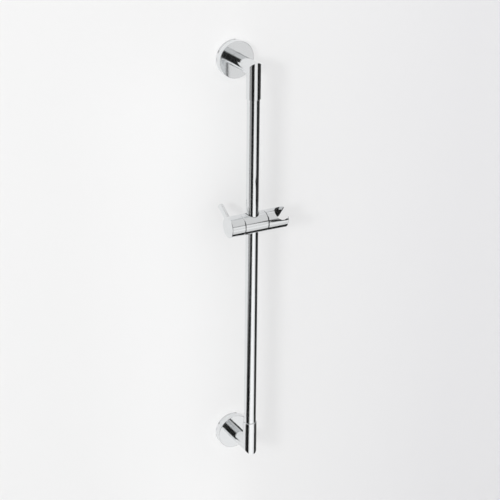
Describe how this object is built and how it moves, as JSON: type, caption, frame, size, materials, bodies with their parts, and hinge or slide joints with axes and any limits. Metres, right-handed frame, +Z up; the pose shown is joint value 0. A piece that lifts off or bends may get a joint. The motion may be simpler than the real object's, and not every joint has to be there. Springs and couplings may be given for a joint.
{
  "type": "shower slide rail",
  "caption": "Upright round shower rail on mitred wall brackets, with a clamping slider that carries an open conical hand-shower holder.",
  "frame": {"origin": "centre of the lower wall plate's back face, in the wall plane", "axes": "+X to the right along the wall, +Y into the wall, +Z up the rail"},
  "size_m": [0.0998, 0.0823, 0.711],
  "materials": {
    "polished_chrome": "mirror-polished chrome plate on brass",
    "plain_brass": "turned, unplated",
    "steel_hardware": "turned stainless steel",
    "white_acetal": "moulded, low sheen",
    "dark_nylon": "moulded, low sheen",
    "black_rubber": "moulded seal"
  },
  "bodies": {
    "rail": {"lower_arm_grub_screw": "steel_hardware", "lower_cover_o_ring": "black_rubber", "lower_elbow": "polished_chrome", "lower_flange_cover": "polished_chrome", "lower_rail_end_ring": "black_rubber", "lower_wall_plate": "plain_brass", "rail_tube": "polished_chrome", "upper_arm_grub_screw": "steel_hardware", "upper_cover_o_ring": "black_rubber", "upper_elbow": "polished_chrome", "upper_flange_cover": "polished_chrome", "upper_rail_end_ring": "black_rubber", "upper_wall_plate": "plain_brass"},
    "bush": {"glide_bush": "white_acetal"},
    "slider": {"slider_body": "polished_chrome", "bush_snap_ring": "steel_hardware", "holder_washer": "dark_nylon", "pivot_screw": "steel_hardware", "pivot_spring_washer": "steel_hardware"},
    "brake": {"brake_pad": "white_acetal"},
    "knob": {"clamp_screw": "steel_hardware", "clamp_knob": "polished_chrome", "lever_pin": "polished_chrome"},
    "holder": {"handset_holder": "polished_chrome"}
  },
  "joints": [
    {"name": "slider_slide", "type": "slide", "parent": "rail", "child": "bush", "axis": [0, 0, 1], "range_m": [-0.346, 0.1854]},
    {"name": "slider_swivel", "type": "hinge", "parent": "bush", "child": "slider", "pos_m": [0, -0.0655, 0.4025], "axis": [0, 0, 1], "continuous": true},
    {"name": "brake_slide", "type": "slide", "parent": "slider", "child": "brake", "axis": [1, 0, 0], "range_m": [-0.0005, 0]},
    {"name": "knob_turn", "type": "hinge", "parent": "brake", "child": "knob", "pos_m": [0, -0.0655, 0.4025], "axis": [1, 0, 0], "range_deg": [-120, 0]},
    {"name": "holder_tilt", "type": "hinge", "parent": "slider", "child": "holder", "pos_m": [0, -0.0655, 0.4025], "axis": [1, 0, 0], "continuous": true}
  ],
  "couplings": [
    {"joint": "knob_turn", "follows": "brake_slide", "rad_per_m": 4188.8}
  ]
}
